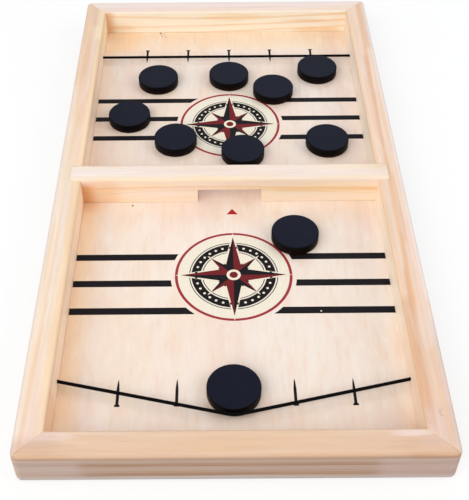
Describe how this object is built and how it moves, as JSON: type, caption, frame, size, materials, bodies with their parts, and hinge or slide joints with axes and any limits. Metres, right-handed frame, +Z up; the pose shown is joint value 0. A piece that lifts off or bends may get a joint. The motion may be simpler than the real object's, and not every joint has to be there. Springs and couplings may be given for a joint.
{
  "type": "sling puck game",
  "caption": "Shallow mitred pine tray with a gated bar across its middle, an elastic sling across each court and flat black wooden pucks that are shot through the gate.",
  "frame": {"origin": "on the surface that the board rests on, under the middle of its frame", "axes": "+X across the board to the right, +Y along the board away from the near player, +Z up"},
  "size_m": [0.3, 0.56, 0.0315],
  "materials": {
    "pine": "smooth clear-coated pine",
    "bar_pine": "smooth pale pine",
    "plywood": "printed and varnished ply",
    "black_elastic": "woven elastic",
    "black_paint": "satin black paint",
    "steel": "bright steel"
  },
  "bodies": {
    "board": {"rail_near": "pine", "rail_far": "pine", "rail_left": "pine", "rail_right": "pine", "gate_bar": "bar_pine", "floor_panel": "plywood", "near_knot_left": "black_elastic", "near_knot_right": "black_elastic", "far_knot_left": "black_elastic", "far_knot_right": "black_elastic", "near_sling_left": "black_elastic", "near_sling_right": "black_elastic", "far_sling_left": "black_elastic", "far_sling_right": "black_elastic", "v_nail_near_left": "steel", "v_nail_near_right": "steel", "v_nail_far_left": "steel", "v_nail_far_right": "steel", "panel_brad_1": "steel", "panel_brad_2": "steel", "panel_brad_3": "steel", "panel_brad_4": "steel", "panel_brad_5": "steel", "panel_brad_6": "steel", "panel_brad_7": "steel", "panel_brad_8": "steel", "panel_brad_9": "steel", "panel_brad_10": "steel", "panel_brad_11": "steel", "panel_brad_12": "steel", "panel_brad_13": "steel", "panel_brad_14": "steel", "panel_brad_15": "steel", "panel_brad_16": "steel", "panel_brad_17": "steel", "panel_brad_18": "steel"},
    "near_sling": {"near_sling_middle": "black_elastic"},
    "far_sling": {"far_sling_middle": "black_elastic"},
    "puck_1": {"puck_1": "black_paint"},
    "puck_2": {"puck_2": "black_paint"},
    "puck_3": {"puck_3": "black_paint"},
    "puck_4": {"puck_4": "black_paint"},
    "puck_5": {"puck_5": "black_paint"},
    "puck_6": {"puck_6": "black_paint"},
    "puck_7": {"puck_7": "black_paint"},
    "puck_8": {"puck_8": "black_paint"},
    "puck_9": {"puck_9": "black_paint"},
    "puck_10": {"puck_10": "black_paint"}
  },
  "joints": [
    {"name": "near_sling_release", "type": "slide", "parent": "board", "child": "near_sling", "axis": [0, 1, 0], "range_m": [-0.0195, 0.0292], "deforming": ["near_sling_left", "near_sling_right"]},
    {"name": "far_sling_draw", "type": "slide", "parent": "board", "child": "far_sling", "axis": [0, 1, 0], "range_m": [0, 0.05], "stiffness_N_per_m": 50, "deforming": ["far_sling_left", "far_sling_right"]},
    {"name": "puck_1_slide", "type": "slide", "parent": "board", "child": "puck_1", "axis": [0, 1, 0], "range_m": [-0.028, 0.016]},
    {"name": "puck_2_slide", "type": "slide", "parent": "board", "child": "puck_2", "axis": [0, 1, 0], "range_m": [-0.079, 0.011]},
    {"name": "puck_3_slide", "type": "slide", "parent": "board", "child": "puck_3", "axis": [0, 1, 0], "range_m": [-0.073, 0.001]},
    {"name": "puck_4_slide", "type": "slide", "parent": "board", "child": "puck_4", "axis": [0, 1, 0], "range_m": [-0.071, 0.034]},
    {"name": "puck_5_slide", "type": "slide", "parent": "board", "child": "puck_5", "axis": [0, 1, 0], "range_m": [-0.075, 0.028]},
    {"name": "puck_6_slide", "type": "slide", "parent": "board", "child": "puck_6", "axis": [0, 1, 0], "range_m": [-0.04, 0.06]},
    {"name": "puck_7_slide", "type": "slide", "parent": "board", "child": "puck_7", "axis": [0.2359, 0.9718, 0], "range_m": [-0.112, 0.06]},
    {"name": "puck_8_slide", "type": "slide", "parent": "board", "child": "puck_8", "axis": [0, 1, 0], "range_m": [-0.037, 0.073]},
    {"name": "puck_9_slide", "type": "slide", "parent": "board", "child": "puck_9", "axis": [0, 1, 0], "range_m": [-0.127, 0.025]},
    {"name": "puck_10_slide", "type": "slide", "parent": "near_sling", "child": "puck_10", "axis": [0, 1, 0], "range_m": [0, 0.2265]}
  ]
}
